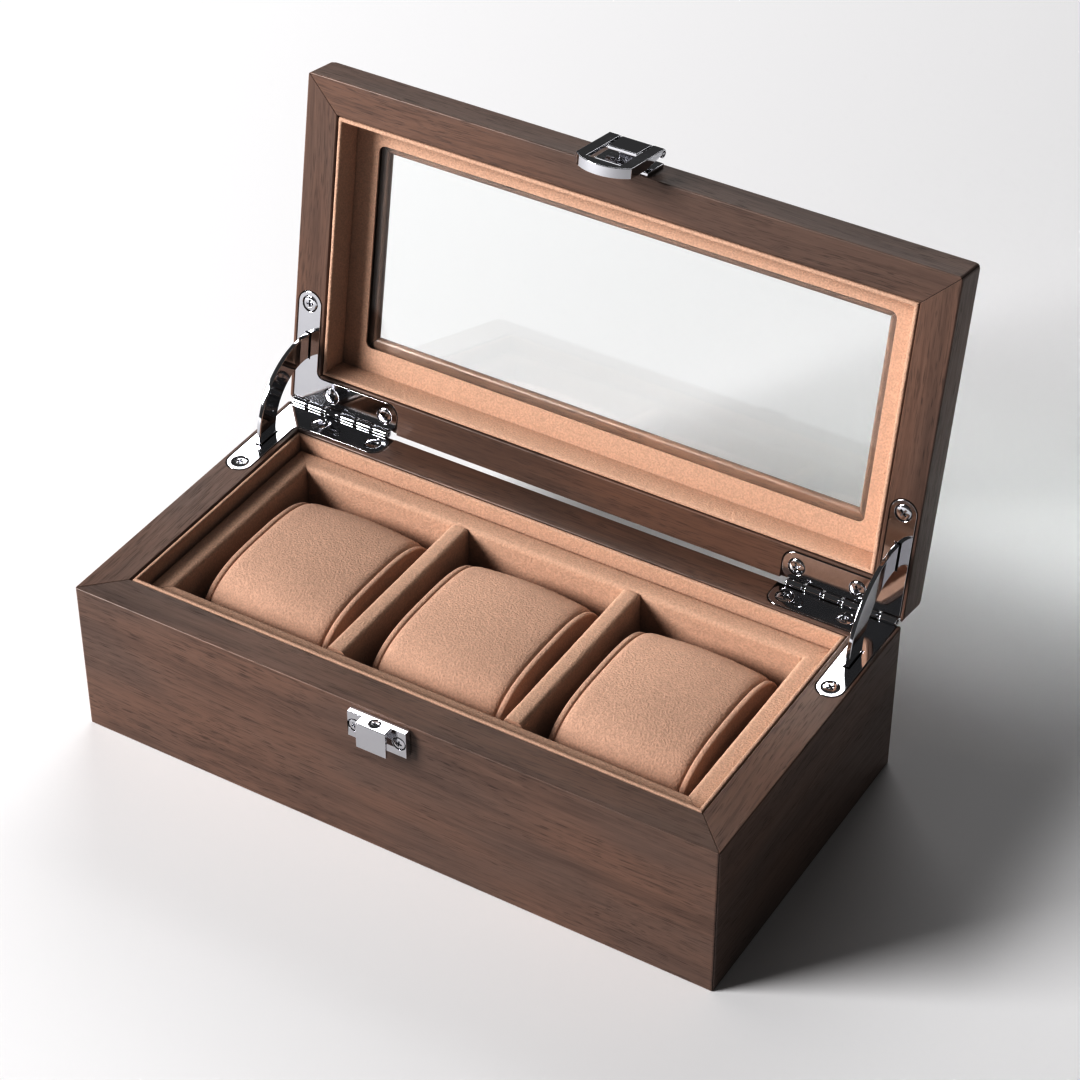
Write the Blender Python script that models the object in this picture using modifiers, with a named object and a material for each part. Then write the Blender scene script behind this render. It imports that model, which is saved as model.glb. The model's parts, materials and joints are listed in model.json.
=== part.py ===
"""Watch box with three compartments, a glass lid, corner hinges with sliding stay arms,
a slotted clasp lever and three loose cushions.

Metres, +Z up, the front faces -Y. The origin is the centre of the underside. The lid stands open.
Lid pieces are laid out as if the lid were closed, then an empty on the hinge axis turns them open.
Run it with blender --background --python part.py, or from Blender's text editor."""

import math

import bmesh
import bpy
from mathutils import Matrix, Vector

MM = 0.001

# outer sizes
WIDTH = 240 * MM
DEPTH = 122.4 * MM
BASE_H = 58.8 * MM
LID_T = 16.5 * MM
CLOSED_GAP = 0.6 * MM
OPEN_ANGLE = math.radians(100)

# clearances between separate pieces
GAP = 0.3 * MM
FINE_GAP = 0.1 * MM
MITRE_GAP = 0.05 * MM

# base case, measured inwards from the outer faces
WALL = 13 * MM
REBATE = 7 * MM
PANEL_TOP = 5.0 * MM
FELT_T = 0.9 * MM
INNER_CHAMFER = 0.4 * MM
SPARE = 1.0 * MM  # how far a profile stands out of the rounded hull that trims it
LINER_T = 1.5 * MM

# tray insert
TRAY_OUTER = 15.1 * MM
TRAY_INNER = 23.6 * MM
TRAY_FLOOR_TOP = 7.3 * MM
TRAY_TOP = BASE_H - 5.5 * MM
DIVIDER_X = 33.5 * MM
DIVIDER_T = 7.0 * MM
SOFT_EDGE = 2.2 * MM

# cushions
CUSHION_W = 49.4 * MM
CUSHION_L = 73.4 * MM
CUSHION_TOP = 56.4 * MM
CUSHION_POWER = 3.0
CUSHION_STEPS = 36
COMPARTMENT_X = (-66.7 * MM, 0.0, 66.7 * MM)

# lid, measured inwards from the outer faces and up from the mating plane
LID_RAIL = 12.5 * MM
LID_LIP = 26.5 * MM
LID_LIP_Z = 13.6 * MM
WINDOW = 23.2 * MM
LEDGE_Z = (10.9 * MM, 11.6 * MM)
GLASS_Z = (11.9 * MM, 13.3 * MM)

# hinges: the axis lies in the closed lid's mating plane, just behind the back face
MATING_Z = BASE_H + CLOSED_GAP
AXIS_Y = DEPTH / 2 + 0.6 * MM
BARREL_R = 1.7 * MM
PIN_R = 0.75 * MM
LEAF_T = 1.2 * MM
LEAF_PROUD = 0.05 * MM
STRIP_INSET = (1.5 * MM, 10.8 * MM)
STRIP_LENGTH = 43.0 * MM
LEG_WIDTH = 11.1 * MM
LEG_LENGTH = 44.6 * MM
LEAF_BACK = 1.4 * MM
KNUCKLES = 6
KNUCKLE_SPAN = (1.5 * MM, 42.3 * MM)
LEAF_SCREWS = ((6.15 * MM, 38.4 * MM), (17.2 * MM, 5.9 * MM), (39.4 * MM, 5.9 * MM))

# stay arms: flat rings about the hinge axis, 0 degrees points to the front
ARM_INSET = 6.15 * MM
ARM_T = 1.6 * MM
ARM_R = (18.3 * MM, 27.8 * MM)
ARM_ANGLES = (math.radians(-4.5), math.radians(103.5))
ARM_POCKET_BASE = (math.radians(-81.5), math.radians(4))
ARM_POCKET_LID = (math.radians(-4), math.radians(31.5))
ARM_SLOT = 0.35 * MM

# screws
HEAD_R = 2.75 * MM
HEAD_PROUD = 0.15 * MM
SCREW_LENGTH = 9.0 * MM
SCREW_SIDES = 12
SHANK_R = 1.2 * MM
SMALL_HEAD_R = 1.75 * MM
SMALL_SHANK_R = 0.8 * MM
HOLE_SIDES = 12

# clasp and catch: offsets out from the front face, heights from the closed mating plane
LEVER_HALF = 10.2 * MM
LEVER_CORNER = -11.5 * MM
LEVER_TIP = -16.0 * MM
LEVER_PLATE = (5.7 * MM, 6.9 * MM)
LEVER_SKIRT = 3.2 * MM
SKIRT_T = 0.9 * MM
SLOT_HALF = 6.1 * MM
SLOT_END = -12.0 * MM
PIVOT = (5.3 * MM, 9.7 * MM)
CLASP_KNUCKLE_R = 1.5 * MM
CLASP_PIN_R = 0.65 * MM
TONGUE_HALF = 5.4 * MM
MOUNT_HALF = 9.8 * MM
CATCH_HALF = 11.0 * MM
CATCH_Z = (47.4 * MM, 57.4 * MM)
CATCH_PLATE = 2.7 * MM
TAB_HALF = 5.6 * MM
TAB_OUT = (5.2 * MM, 6.2 * MM)
PLATE_BACK = FINE_GAP
MOUNT_FACE = 1.3 * MM
CATCH_HEAD_R = 2.2 * MM
CATCH_SCREWS = ((-8.3 * MM, 52.4 * MM), (8.3 * MM, 52.4 * MM))
CLASP_SCREWS = ((-2.6 * MM, 4.4 * MM), (2.6 * MM, 4.4 * MM))
TOP_SCREW_OUT = 3.5 * MM

UPRIGHT = Matrix(((0, 0, 1, 0), (1, 0, 0, 0), (0, 1, 0, 0), (0, 0, 0, 1)))
SIDES = {"left": -1, "right": 1}
QUARTERS = {"front": 0, "right": 1, "back": 2, "left": 3}

LOOKS = {
    "walnut": ((0.105, 0.052, 0.032), 0.42, 0.0),
    "panel_board": ((0.22, 0.15, 0.10), 0.7, 0.0),
    "suede": ((0.62, 0.36, 0.22), 0.95, 0.0),
    "felt": ((0.05, 0.045, 0.045), 0.95, 0.0),
    "glass": ((0.9, 0.94, 0.94), 0.02, 0.0),
    "chrome": ((0.78, 0.78, 0.80), 0.12, 1.0),
}


# ---------------------------------------------------------------- helpers


def clear_scene():
    for obj in list(bpy.data.objects):
        bpy.data.objects.remove(obj, do_unlink=True)


def new_collection(name):
    collection = bpy.data.collections.new(name)
    bpy.context.scene.collection.children.link(collection)
    return collection


def material(name, look):
    colour, roughness, metallic = LOOKS[look]
    made = bpy.data.materials.new(name)
    made.use_nodes = True
    shader = made.node_tree.nodes["Principled BSDF"]
    shader.inputs["Base Color"].default_value = (*colour, 1)
    shader.inputs["Roughness"].default_value = roughness
    shader.inputs["Metallic"].default_value = metallic
    if look == "glass":
        shader.inputs["Transmission Weight"].default_value = 1.0
    return made


def face_outwards(shape):
    bmesh.ops.recalc_face_normals(shape, faces=shape.faces)
    if shape.calc_volume(signed=True) < 0:
        bmesh.ops.reverse_faces(shape, faces=shape.faces)


def add(name, shape, look):
    """An object from a bmesh or a mesh. With no look it is a cutter."""
    if isinstance(shape, bmesh.types.BMesh):
        mesh = bpy.data.meshes.new(name)
        face_outwards(shape)
        shape.to_mesh(mesh)
        shape.free()
    else:
        mesh = shape
    obj = bpy.data.objects.new(name, mesh)
    (PARTS if look else CUTTERS).objects.link(obj)
    if look:
        mesh.materials.clear()
        mesh.materials.append(material(name, look))
    else:
        obj.display_type = "WIRE"
        obj.hide_render = True
    return obj


def block(name, low, high, look=None):
    shape = bmesh.new()
    low, high = Vector(low), Vector(high)
    place = Matrix.Translation((low + high) / 2) @ Matrix.Diagonal((*(high - low), 1))
    bmesh.ops.create_cube(shape, size=1.0, matrix=place)
    return add(name, shape, look)


def rod(name, start, end, radius, look=None, sides=16):
    start, end = Vector(start), Vector(end)
    along = end - start
    shape = bmesh.new()
    turn = along.to_track_quat("Z", "Y").to_matrix().to_4x4()
    place = Matrix.Translation((start + end) / 2) @ turn
    sizes = {"radius1": radius, "radius2": radius, "depth": along.length}
    bmesh.ops.create_cone(shape, cap_ends=True, segments=sides, matrix=place, **sizes)
    obj = add(name, shape, look)
    smooth(obj)
    return obj


def slab(name, outline, low, high, look=None, turn=None, holes=()):
    """A flat outline, with holes, extruded from low to high along its normal, then turned."""
    curve = bpy.data.curves.new(name + "_outline", "CURVE")
    curve.dimensions = "2D"
    curve.fill_mode = "BOTH"
    curve.extrude = (high - low) / 2
    for points in (outline, *holes):
        spline = curve.splines.new("POLY")
        spline.points.add(len(points) - 1)
        spline.use_cyclic_u = True
        for point, (x, y) in zip(spline.points, points):
            point.co = (x, y, 0, 1)
    guide = bpy.data.objects.new(name + "_outline", curve)
    bpy.context.scene.collection.objects.link(guide)
    graph = bpy.context.evaluated_depsgraph_get()
    mesh = bpy.data.meshes.new_from_object(guide.evaluated_get(graph))
    bpy.data.objects.remove(guide)
    shape = bmesh.new()
    shape.from_mesh(mesh)
    bmesh.ops.remove_doubles(shape, verts=shape.verts, dist=0.00001)
    lift = Matrix.Translation((0, 0, (low + high) / 2))
    shape.transform((turn or Matrix()) @ lift)
    return add(name, shape, look)


def smooth(obj):
    obj.data.shade_smooth()
    obj.data.set_sharp_from_angle(angle=math.radians(35))


def boolean(obj, operation, *others, solver="EXACT"):
    for other in others:
        made = obj.modifiers.new(operation.lower(), "BOOLEAN")
        made.operation = operation
        made.solver = solver
        made.object = other


def bevel(obj, width, segments=2, weighted=False):
    made = obj.modifiers.new("edges", "BEVEL")
    made.width = width
    made.segments = segments
    made.limit_method = "WEIGHT" if weighted else "ANGLE"
    made.angle_limit = math.radians(40)


def fillet(corners, step=math.radians(15)):
    """The outline through corners (x, y, radius), each rounded by an arc."""
    points = []
    for index, (x, y, radius) in enumerate(corners):
        corner = Vector((x, y))
        if not radius:
            points.append(tuple(corner))
            continue
        back = (Vector(corners[index - 1][:2]) - corner).normalized()
        ahead = (Vector(corners[(index + 1) % len(corners)][:2]) - corner).normalized()
        half = back.angle(ahead) / 2
        centre = corner + (back + ahead).normalized() * (radius / math.sin(half))
        first = corner + back * (radius / math.tan(half)) - centre
        last = corner + ahead * (radius / math.tan(half)) - centre
        start = math.atan2(first.y, first.x)
        sweep = (math.atan2(last.y, last.x) - start + math.pi) % (2 * math.pi) - math.pi
        steps = max(2, math.ceil(abs(sweep) / step))
        for k in range(steps + 1):
            angle = start + sweep * k / steps
            points.append((centre.x + radius * math.cos(angle), centre.y + radius * math.sin(angle)))
    return points


def rectangle(low, high, radius=0.0):
    (x0, y0), (x1, y1) = low, high
    return fillet([(x0, y0, radius), (x1, y0, radius), (x1, y1, radius), (x0, y1, radius)])


def circle(centre, radius, sides=16):
    angles = [2 * math.pi * k / sides for k in range(sides)]
    return [(centre[0] + radius * math.cos(a), centre[1] + radius * math.sin(a)) for a in angles]


def ring_part(inner, outer, first, last, step=math.radians(6)):
    """Part of a flat ring about the hinge axis, as (y, z) points."""
    steps = math.ceil((last - first) / step)
    angles = [first + (last - first) * k / steps for k in range(steps + 1)]
    along = [(outer, a) for a in angles] + [(inner, a) for a in reversed(angles)]
    return [(AXIS_Y - r * math.cos(a), MATING_Z + r * math.sin(a)) for r, a in along]


def hang(obj, empty):
    """Makes a piece and its cutters follow an empty from the empty's present place."""
    inverse = empty.matrix_world.inverted()
    for each in (obj, *(m.object for m in obj.modifiers if m.type == "BOOLEAN")):
        each.parent = empty
        each.matrix_parent_inverse = inverse


def axis_empty(name, place, parent=None):
    empty = bpy.data.objects.new(name, None)
    empty.empty_display_size = 0.01
    PARTS.objects.link(empty)
    empty.location = place
    bpy.context.view_layer.update()
    if parent:
        inverse = parent.matrix_world.inverted()
        empty.parent = parent
        empty.matrix_parent_inverse = inverse
    return empty


# ---------------------------------------------------------------- frames with mitred corners


def rail(name, side, profile, look):
    """A length of profile along one side. Profile points are (inwards from the face, z)."""
    quarter = QUARTERS[side]
    reach, length = (DEPTH / 2, WIDTH) if quarter % 2 == 0 else (WIDTH / 2, DEPTH)
    around = Matrix.Rotation(quarter * math.pi / 2, 4, "Z")
    points = [(inward - reach, z) for inward, z in profile]
    piece = slab(name, points, -length / 2, length / 2, look, turn=around @ UPRIGHT)
    ends = length / 2 - MITRE_GAP
    near, far = -2 * SPARE, LID_LIP + 3 * SPARE
    wedge = [
        (near - ends, near - reach),
        (ends - near, near - reach),
        (ends - far, far - reach),
        (far - ends, far - reach),
    ]
    below, above = -5 * SPARE, MATING_Z + LID_T + 5 * SPARE
    boolean(piece, "INTERSECT", slab(name + "_mitre", wedge, below, above, turn=around))
    return piece


def rounded_hull(name, low, high, radius, weights):
    """A block whose upright, top and bottom edges are rounded by radius times their weight."""
    upright, top, bottom = weights
    hull = block(name, low, high)
    shape = bmesh.new()
    shape.from_mesh(hull.data)
    layer = shape.edges.layers.float.new("bevel_weight_edge")
    middle = (low[2] + high[2]) / 2
    for edge in shape.edges:
        heights = [vertex.co.z for vertex in edge.verts]
        level = abs(heights[0] - heights[1]) < MM
        edge[layer] = upright if not level else (top if heights[0] > middle else bottom)
    shape.to_mesh(hull.data)
    shape.free()
    bevel(hull, radius, segments=5, weighted=True)
    return hull


# ---------------------------------------------------------------- hinge outlines


def leaf_outline(hand, grow=0.0, back=LEAF_BACK):
    """The L of a hinge leaf in plan, grown for its pocket."""
    outer, inner = STRIP_INSET[0] - grow, STRIP_INSET[1] + grow
    tip = (inner - outer) / 2 - 0.01 * MM
    leg, far, strip = LEG_WIDTH + grow, LEG_LENGTH + grow, STRIP_LENGTH + grow
    small = 0.6 * MM if back > 0 else 0.0
    corners = [
        (outer, back, small),
        (outer, strip, tip),
        (inner, strip, tip),
        (inner, leg, 2.5 * MM - grow),
        (far, leg, 4.6 * MM),
        (far, back, 3 * MM if back > 0 else 0.0),
    ]
    return fillet([(hand * (WIDTH / 2 - x), DEPTH / 2 - y, r) for x, y, r in corners])


def leaf_screw_places(hand):
    return [(hand * (WIDTH / 2 - x), DEPTH / 2 - y) for x, y in LEAF_SCREWS]


def arm_slot(hand):
    middle = hand * (WIDTH / 2 - ARM_INSET)
    half = ARM_T / 2 + ARM_SLOT
    near, far = AXIS_Y - ARM_R[0] + ARM_SLOT, AXIS_Y - ARM_R[1] - ARM_SLOT
    return rectangle((middle - half, far), (middle + half, near))


def hinge_pockets(hand, label, floor, mouth, angles):
    """Cutters for one leaf, for the side piece and the back piece: recess, arm mortise, barrel, screws."""
    middle = hand * (WIDTH / 2 - ARM_INSET)
    half = ARM_T / 2 + 2 * ARM_SLOT
    low, high = sorted((floor, mouth))
    recess = slab(label + "_recess", leaf_outline(hand, GAP, back=-4 * MM), low, high)
    ends = [hand * (WIDTH / 2 - x) for x in (KNUCKLE_SPAN[0] - 1.5 * GAP, KNUCKLE_SPAN[1] + GAP)]
    barrel = rod(
        label + "_barrel", (ends[0], AXIS_Y, MATING_Z), (ends[1], AXIS_Y, MATING_Z), BARREL_R + GAP
    )
    ring = ring_part(ARM_R[0] - 0.5 * MM, ARM_R[1] + 0.5 * MM, *angles)
    mortise = slab(label + "_mortise", ring, middle - half, middle + half, turn=UPRIGHT)
    down = -1 if mouth > floor else 1
    holes = [
        rod(
            f"{label}_hole_{k}",
            (x, y, floor - down * MM),
            (x, y, floor + down * (SCREW_LENGTH - 0.6 * MM)),
            SHANK_R + GAP,
            sides=HOLE_SIDES,
        )
        for k, (x, y) in enumerate(leaf_screw_places(hand))
    ]
    return {"side": [recess, mortise, holes[0]], "back": [recess, mortise, barrel, *holes[1:]]}


# ---------------------------------------------------------------- base


def base_case():
    profile = [
        (-SPARE, -SPARE),
        (REBATE, -SPARE),
        (REBATE, PANEL_TOP + GAP),
        (WALL, PANEL_TOP + GAP),
        (WALL, BASE_H - INNER_CHAMFER),
        (WALL - INNER_CHAMFER - SPARE, BASE_H + SPARE),
        (-SPARE, BASE_H + SPARE),
    ]
    hull = rounded_hull(
        "base_hull",
        (-WIDTH / 2, -DEPTH / 2, 0),
        (WIDTH / 2, DEPTH / 2, BASE_H),
        1.0 * MM,
        (1.0, 0.5, 0.6),
    )
    floor = BASE_H + LEAF_PROUD - LEAF_T - GAP
    pockets = {
        side: hinge_pockets(hand, f"base_{side}", floor, BASE_H + 6 * MM, ARM_POCKET_BASE)
        for side, hand in SIDES.items()
    }
    for side in QUARTERS:
        panel = rail(f"base_{side}_panel", side, profile, "walnut")
        boolean(panel, "INTERSECT", hull)
        if side in pockets:
            boolean(panel, "DIFFERENCE", *pockets[side]["side"])
        if side == "back":
            boolean(panel, "DIFFERENCE", *pockets["left"]["back"], *pockets["right"]["back"])
        if side == "front":
            boolean(panel, "DIFFERENCE", *catch_screw_holes())
    inset = REBATE + GAP
    low, high = (inset - WIDTH / 2, inset - DEPTH / 2), (WIDTH / 2 - inset, DEPTH / 2 - inset)
    block("bottom_panel", (*low, FELT_T + GAP), (*high, PANEL_TOP), "panel_board")
    block("underside_felt", (*low, 0), (*high, FELT_T), "felt")


def base_lining():
    outer, inner = WALL + GAP, WALL + GAP + LINER_T
    low, high = PANEL_TOP + GAP, BASE_H - 0.2 * MM
    profile = fillet(
        [(outer, low, 0), (inner, low, 0), (inner, high, 0.6 * MM), (outer, high, 0.6 * MM)],
        step=math.radians(30),
    )
    for side in QUARTERS:
        rail(f"base_liner_{side}", side, profile, "suede")


def tray():
    inset = TRAY_OUTER
    block(
        "tray_floor",
        (inset - WIDTH / 2, inset - DEPTH / 2, PANEL_TOP + GAP),
        (WIDTH / 2 - inset, DEPTH / 2 - inset, TRAY_FLOOR_TOP),
        "suede",
    )
    low = TRAY_FLOOR_TOP + GAP
    profile = fillet(
        [
            (TRAY_OUTER, low, 0),
            (TRAY_INNER, low, 0),
            (TRAY_INNER, TRAY_TOP, SOFT_EDGE),
            (TRAY_OUTER, TRAY_TOP, SOFT_EDGE),
        ]
    )
    for side in QUARTERS:
        rail(f"tray_wall_{side}", side, profile, "suede")
    half = DEPTH / 2 - TRAY_INNER - GAP
    for side, hand in SIDES.items():
        x0, x1 = hand * DIVIDER_X - DIVIDER_T / 2, hand * DIVIDER_X + DIVIDER_T / 2
        top = [(x1, TRAY_TOP, SOFT_EDGE), (x0, TRAY_TOP, SOFT_EDGE)]
        across = fillet([(x0, low, 0), (x1, low, 0), *top])
        turn = Matrix.Rotation(math.pi / 2, 4, "X")
        slab(f"tray_divider_{side}", across, -half, half, "suede", turn=turn)


def cushions():
    """Each cushion is a rounded slab: a superellipse seen from the side, with soft end rims."""
    floor = TRAY_FLOOR_TOP + GAP
    half_z = (CUSHION_TOP - floor) / 2
    outline = []
    for k in range(CUSHION_STEPS):
        angle = 2 * math.pi * k / CUSHION_STEPS
        c, s = math.cos(angle), math.sin(angle)
        y = math.copysign(abs(c) ** (2 / CUSHION_POWER), c) * CUSHION_L / 2
        z = math.copysign(abs(s) ** (2 / CUSHION_POWER), s) * half_z + half_z
        outline.append((y, z))
    for name, x in zip(("left", "middle", "right"), COMPARTMENT_X):
        cushion = slab(
            f"cushion_{name}", outline, -CUSHION_W / 2, CUSHION_W / 2, "suede", turn=UPRIGHT
        )
        bevel(cushion, 2.5 * MM, segments=2)
        cushion.location = (x, 0, floor)


# ---------------------------------------------------------------- screws


def screw_mesh(head_r=HEAD_R, shank_r=SHANK_R, length=SCREW_LENGTH, head_t=1.1 * MM):
    """One cross-head screw, head up, with the plate's face at z = 0."""
    rim = head_r - 0.35 * MM
    profile = [
        (0, HEAD_PROUD),
        (rim, HEAD_PROUD * 0.6),
        (head_r, -0.2 * MM),
        (head_r, -head_t),
        (shank_r, -head_t - 0.02 * MM),
        (shank_r, 1.2 * MM - length),
        (0, -length),
    ]
    shape = bmesh.new()
    points = [shape.verts.new((x, 0, z)) for x, z in profile]
    for first, second in zip(points, points[1:]):
        shape.edges.new((first, second))
    mesh = bpy.data.meshes.new("screw_profile")
    shape.to_mesh(mesh)
    shape.free()
    turned = bpy.data.objects.new("screw_profile", mesh)
    CUTTERS.objects.link(turned)
    screw = turned.modifiers.new("turn", "SCREW")
    screw.steps = screw.render_steps = SCREW_SIDES
    screw.use_merge_vertices = True
    screw.merge_threshold = 0.00001
    arm, half = head_r * 0.6, head_r * 0.13
    recess = block("recess_x", (-arm, -half, -0.75 * MM), (arm, half, MM))
    other = block("recess_y", (-half, -arm, -0.75 * MM), (half, arm, MM))
    boolean(turned, "DIFFERENCE", recess, other)
    graph = bpy.context.evaluated_depsgraph_get()
    made = bpy.data.meshes.new_from_object(turned.evaluated_get(graph))
    for each in (turned, recess, other):
        bpy.data.objects.remove(each)
    return made


def fastener(name, mesh, place):
    own = mesh.copy()
    own.transform(place)
    obj = add(name, own, "chrome")
    smooth(obj)
    return obj


def place_screw(point, facing, twist):
    turn = Vector(facing).to_track_quat("Z", "Y").to_matrix().to_4x4()
    return Matrix.Translation(point) @ turn @ Matrix.Rotation(twist, 4, "Z")


# ---------------------------------------------------------------- lid


def lid(empty):
    high = MATING_Z + LID_T
    inner_edge = 1.4 * MM
    profile = fillet(
        [
            (-SPARE, MATING_Z - SPARE, 0),
            (LID_RAIL - INNER_CHAMFER - SPARE, MATING_Z - SPARE, 0),
            (LID_RAIL, MATING_Z + INNER_CHAMFER, 0),
            (LID_RAIL, MATING_Z + LID_LIP_Z, 0),
            (LID_LIP, MATING_Z + LID_LIP_Z, inner_edge),
            (LID_LIP, high, inner_edge),
            (-SPARE, high, 0),
        ]
    )
    hull = rounded_hull(
        "lid_hull",
        (-WIDTH / 2, -DEPTH / 2, MATING_Z),
        (WIDTH / 2, DEPTH / 2, high + 0.02 * MM),
        4 * MM,
        (0.35, 1.0, 0.12),
    )
    floor = MATING_Z - LEAF_PROUD + LEAF_T + GAP
    pockets = {
        side: hinge_pockets(hand, f"lid_{side}", floor, MATING_Z - 6 * MM, ARM_POCKET_LID)
        for side, hand in SIDES.items()
    }
    for side in QUARTERS:
        piece = rail(f"lid_{side}_rail", side, profile, "walnut")
        boolean(piece, "INTERSECT", hull)
        if side in pockets:
            boolean(piece, "DIFFERENCE", *pockets[side]["side"], solver="MANIFOLD")
        if side == "back":
            boolean(piece, "DIFFERENCE", *pockets["left"]["back"], *pockets["right"]["back"])
        if side == "front":
            boolean(piece, "DIFFERENCE", *clasp_screw_holes())
        hang(piece, empty)
    lid_lining(empty)


def lid_lining(empty):
    outer, inner = LID_RAIL + GAP, LID_RAIL + GAP + LINER_T
    low, top = MATING_Z + 0.2 * MM, MATING_Z + LEDGE_Z[0] - GAP
    profile = fillet(
        [(outer, low, 0.6 * MM), (inner, low, 0.6 * MM), (inner, top, 0), (outer, top, 0)],
        step=math.radians(30),
    )
    for side in QUARTERS:
        hang(rail(f"lid_liner_{side}", side, profile, "suede"), empty)
    edge_x, edge_y = WIDTH / 2 - outer, DEPTH / 2 - outer
    window_x, window_y = WIDTH / 2 - WINDOW, DEPTH / 2 - WINDOW
    ledge = slab(
        "lid_window_ledge",
        rectangle((-edge_x, -edge_y), (edge_x, edge_y)),
        MATING_Z + LEDGE_Z[0],
        MATING_Z + LEDGE_Z[1],
        "suede",
        holes=[rectangle((-window_x, -window_y), (window_x, window_y), 2.5 * MM)],
    )
    hang(ledge, empty)
    glass = block(
        "lid_glass",
        (-edge_x, -edge_y, MATING_Z + GLASS_Z[0]),
        (edge_x, edge_y, MATING_Z + GLASS_Z[1]),
        "glass",
    )
    hang(glass, empty)


# ---------------------------------------------------------------- hinges


def hinge_leaf(name, hand, low, high, first_knuckle):
    """A leaf from z = low to high with every second knuckle of the barrel."""
    holes = [circle(place, HEAD_R + GAP) for place in leaf_screw_places(hand)]
    leaf = slab(name, leaf_outline(hand), low, high, "chrome", holes=[arm_slot(hand), *holes])
    start, end = KNUCKLE_SPAN
    pitch = (end - start) / KNUCKLES
    for k in range(first_knuckle, KNUCKLES, 2):
        x0, x1 = sorted(hand * (WIDTH / 2 - start - pitch * (k + step)) for step in (0, 1))
        x0, x1 = x0 + GAP / 2, x1 - GAP / 2
        web = block(f"{name}_web_{k}", (x0, DEPTH / 2 - 2.5 * MM, low), (x1, AXIS_Y, high))
        knuckle = rod(
            f"{name}_knuckle_{k}", (x0, AXIS_Y, MATING_Z), (x1, AXIS_Y, MATING_Z), BARREL_R
        )
        boolean(leaf, "UNION", web, knuckle)
    ends = [(hand * (WIDTH / 2 - x), AXIS_Y, MATING_Z) for x in (-SPARE, end + 5 * SPARE)]
    bore = rod(name + "_bore", *ends, PIN_R + GAP)
    boolean(leaf, "DIFFERENCE", bore)
    smooth(leaf)
    return leaf


def hinges(empty):
    screw = screw_mesh()
    base_top = BASE_H + LEAF_PROUD
    lid_face = MATING_Z - LEAF_PROUD
    for side, hand in SIDES.items():
        hinge_leaf(f"hinge_base_leaf_{side}", hand, base_top - LEAF_T, base_top, 0)
        hang(hinge_leaf(f"hinge_lid_leaf_{side}", hand, lid_face, lid_face + LEAF_T, 1), empty)
        ends = [(hand * (WIDTH / 2 - x), AXIS_Y, MATING_Z) for x in KNUCKLE_SPAN]
        rod(f"hinge_pin_{side}", *ends, PIN_R, "chrome")
        for k, (x, y) in enumerate(leaf_screw_places(hand)):
            twist = 0.5 + 1.3 * k + 0.4 * hand
            label = f"{side}_{k + 1}"
            up = place_screw((x, y, base_top), (0, 0, 1), twist)
            down = place_screw((x, y, lid_face), (0, 0, -1), twist)
            fastener(f"base_leaf_screw_{label}", screw, up)
            hang(fastener(f"lid_leaf_screw_{label}", screw, down), empty)


def stay_arms():
    """Each arm turns about the hinge axis, so its mesh is drawn around its own origin there."""
    for side, hand in SIDES.items():
        middle = hand * (WIDTH / 2 - ARM_INSET)
        outline = ring_part(*ARM_R, *ARM_ANGLES, step=math.radians(6))
        arm = slab(
            f"stay_arm_{side}", outline, middle - ARM_T / 2, middle + ARM_T / 2, "chrome", turn=UPRIGHT
        )
        axis = Vector((0, AXIS_Y, MATING_Z))
        arm.data.transform(Matrix.Translation(-axis))
        arm.location = axis
        bevel(arm, 0.25 * MM, segments=1)


# ---------------------------------------------------------------- clasp and catch


def front_point(x, out, up):
    """A point in front of the closed lid: out from the front face, up from the mating plane."""
    return (x, -DEPTH / 2 - out, MATING_Z + up)


def front_block(name, half, out, up, look=None, x=0.0):
    low = front_point(x - half, out[1], up[0])
    high = front_point(x + half, out[0], up[1])
    return block(name, low, high, look)


def catch_screw_holes():
    face = -DEPTH / 2
    return [
        rod(f"catch_hole_{k}", (x, face - MM, z), (x, face + 8 * MM, z), SHANK_R + GAP, sides=HOLE_SIDES)
        for k, (x, z) in enumerate(CATCH_SCREWS)
    ]


def clasp_screw_holes():
    made = []
    for k, (x, up) in enumerate(CLASP_SCREWS):
        ends = front_point(x, MM, up), front_point(x, -8 * MM, up)
        made.append(rod(f"clasp_hole_{k}", *ends, SMALL_SHANK_R + GAP, sides=HOLE_SIDES))
    return made


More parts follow.
